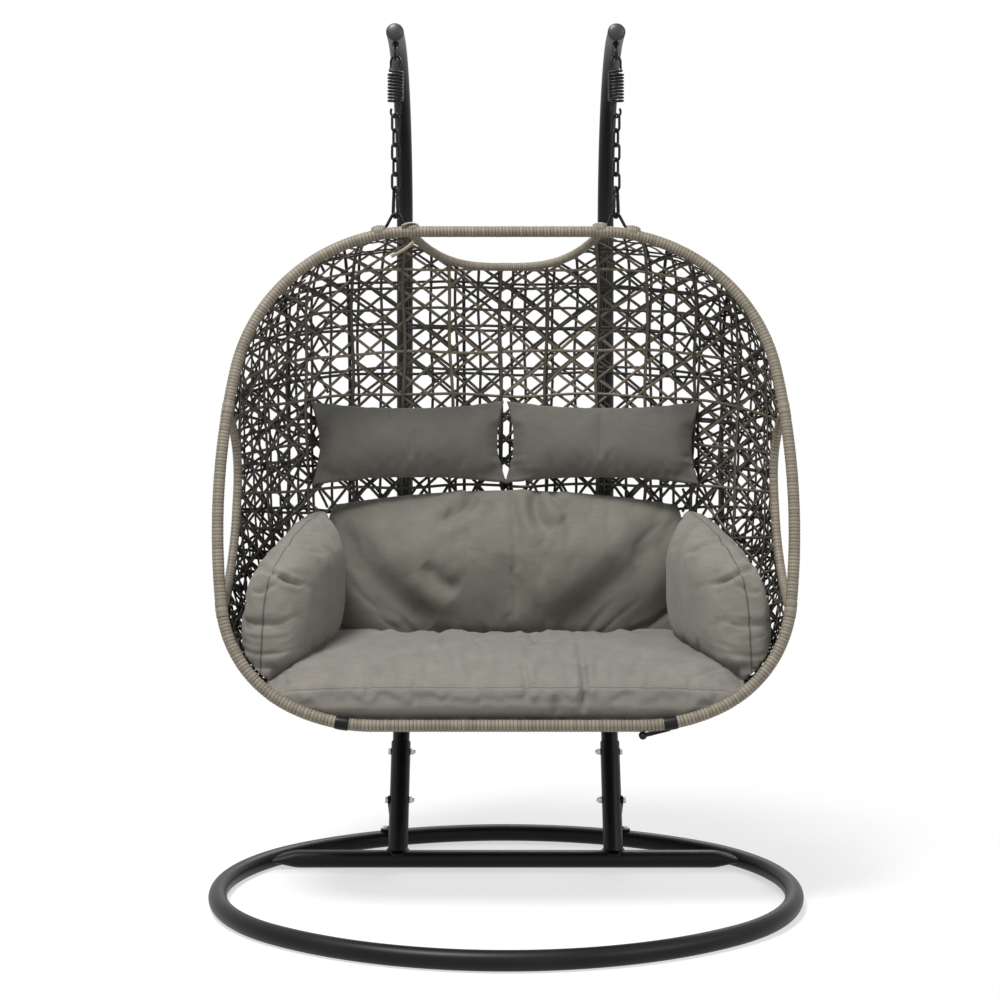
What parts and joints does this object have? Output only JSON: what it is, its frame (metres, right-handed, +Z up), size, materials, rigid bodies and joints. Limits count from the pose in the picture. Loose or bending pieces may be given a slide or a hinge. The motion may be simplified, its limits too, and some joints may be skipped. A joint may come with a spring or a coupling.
{
  "type": "hanging egg chair",
  "caption": "Two-seat hanging egg chair: a wicker basket with grey cushions hung by springs and chains from a black steel stand.",
  "frame": {"origin": "on the floor under the middle of the overall box", "axes": "+Z up, +Y to the back, -Y is the side that the sitter faces, +X to the right as seen from the front"},
  "size_m": [1.2902, 1.1199, 1.9396],
  "materials": {
    "black_steel": "satin powder coat",
    "black_plug": "moulded, satin",
    "zinc": "bright zinc",
    "wrapped_tube": "steel tube wrapped with flat greige wicker",
    "weave": "flat woven resin wicker",
    "seat_fabric": "fine plain weave",
    "back_fabric": "fine plain weave"
  },
  "bodies": {
    "stand": {"base_ring": "black_steel", "cross_bar": "black_steel", "left_sleeve": "black_steel", "right_sleeve": "black_steel", "left_brace": "black_steel", "right_brace": "black_steel", "brace_bolts": "black_steel", "left_post": "black_steel", "right_post": "black_steel", "left_post_cap": "black_plug", "right_post_cap": "black_plug", "sleeve_bolts": "black_steel", "sleeve_cap_nuts": "zinc", "left_eye_bolt": "black_steel", "right_eye_bolt": "black_steel", "eye_bolt_nuts": "black_steel"},
    "left_hanger_spring": {"left_spring": "black_steel"},
    "left_top_link": {"left_link_1": "black_steel"},
    "left_chain": {"left_link_2": "black_steel", "left_link_3": "black_steel", "left_link_4": "black_steel", "left_link_5": "black_steel"},
    "left_hook": {"left_carabiner": "black_steel", "left_gate_pin": "zinc"},
    "left_gate": {"left_carabiner_gate": "zinc"},
    "right_hanger_spring": {"right_spring": "black_steel"},
    "right_top_link": {"right_link_1": "black_steel"},
    "right_chain": {"right_link_2": "black_steel", "right_link_3": "black_steel", "right_link_4": "black_steel", "right_link_5": "black_steel"},
    "right_hook": {"right_carabiner": "black_steel", "right_gate_pin": "zinc"},
    "right_gate": {"right_carabiner_gate": "zinc"},
    "basket": {"front_hoop": "wrapped_tube", "scoop_rim": "wrapped_tube", "left_arm_rim": "wrapped_tube", "right_arm_rim": "wrapped_tube", "left_staple": "wrapped_tube", "right_staple": "wrapped_tube", "basket_weave": "weave", "basket_ribs": "black_steel", "left_rail_collar": "black_steel", "right_rail_collar": "black_steel", "right_clamp_bolt": "zinc", "seat_cushion": "seat_fabric", "back_cushion": "back_fabric", "left_bolster": "back_fabric", "right_bolster": "back_fabric", "left_head_pillow": "seat_fabric", "right_head_pillow": "seat_fabric"}
  },
  "joints": [
    {"name": "left_swing", "type": "hinge", "parent": "stand", "child": "left_hanger_spring", "pos_m": [-0.25, 0.1193, 1.86386], "axis": [-1, 0, 0], "range_deg": [-1.5, 18]},
    {"name": "left_stretch", "type": "slide", "parent": "left_hanger_spring", "child": "left_top_link", "axis": [0, 0, -1], "range_m": [-0.008, 0.03], "stiffness_N_per_m": 15000, "springref_m": -0.02201, "deforming": ["left_spring"]},
    {"name": "left_sway", "type": "hinge", "parent": "left_top_link", "child": "left_chain", "pos_m": [-0.25, 0.1193, 1.69614], "axis": [0, 1, 0], "range_deg": [-10, 10]},
    {"name": "left_level", "type": "hinge", "parent": "left_chain", "child": "left_hook", "pos_m": [-0.25, 0.1193, 1.56344], "axis": [0, 1, 0], "range_deg": [-10, 10]},
    {"name": "left_gate_hinge", "type": "hinge", "parent": "left_hook", "child": "left_gate", "pos_m": [-0.24583, 0.11035, 1.55106], "axis": [0.9063, 0.4226, 0], "range_deg": [0, 25], "stiffness_Nm_per_rad": 0.05, "springref_deg": -9.74},
    {"name": "right_swing", "type": "hinge", "parent": "stand", "child": "right_hanger_spring", "pos_m": [0.25, 0.1193, 1.86386], "axis": [-1, 0, 0], "range_deg": [-1.5, 18]},
    {"name": "right_stretch", "type": "slide", "parent": "right_hanger_spring", "child": "right_top_link", "axis": [0, 0, -1], "range_m": [-0.008, 0.03], "stiffness_N_per_m": 15000, "springref_m": -0.02201, "deforming": ["right_spring"]},
    {"name": "right_sway", "type": "hinge", "parent": "right_top_link", "child": "right_chain", "pos_m": [0.25, 0.1193, 1.69614], "axis": [0, 1, 0], "range_deg": [-10, 10]},
    {"name": "right_level", "type": "hinge", "parent": "right_chain", "child": "right_hook", "pos_m": [0.25, 0.1193, 1.56344], "axis": [0, 1, 0], "range_deg": [-10, 10]},
    {"name": "right_gate_hinge", "type": "hinge", "parent": "right_hook", "child": "right_gate", "pos_m": [0.24583, 0.11035, 1.55106], "axis": [0.9063, -0.4226, 0], "range_deg": [0, 25], "stiffness_Nm_per_rad": 0.05, "springref_deg": -9.74},
    {"name": "basket_tilt", "type": "hinge", "parent": "left_hook", "child": "basket", "pos_m": [-0.25, 0.1193, 1.50299], "axis": [-1, 0, 0], "range_deg": [-1.5, 6]}
  ],
  "couplings": [
    {"joint": "right_swing", "follows": "left_swing", "ratio": 1},
    {"joint": "right_stretch", "follows": "left_stretch", "ratio": 1},
    {"joint": "right_sway", "follows": "left_sway", "ratio": 1},
    {"joint": "left_level", "follows": "left_sway", "ratio": -1},
    {"joint": "right_level", "follows": "left_sway", "ratio": -1}
  ]
}
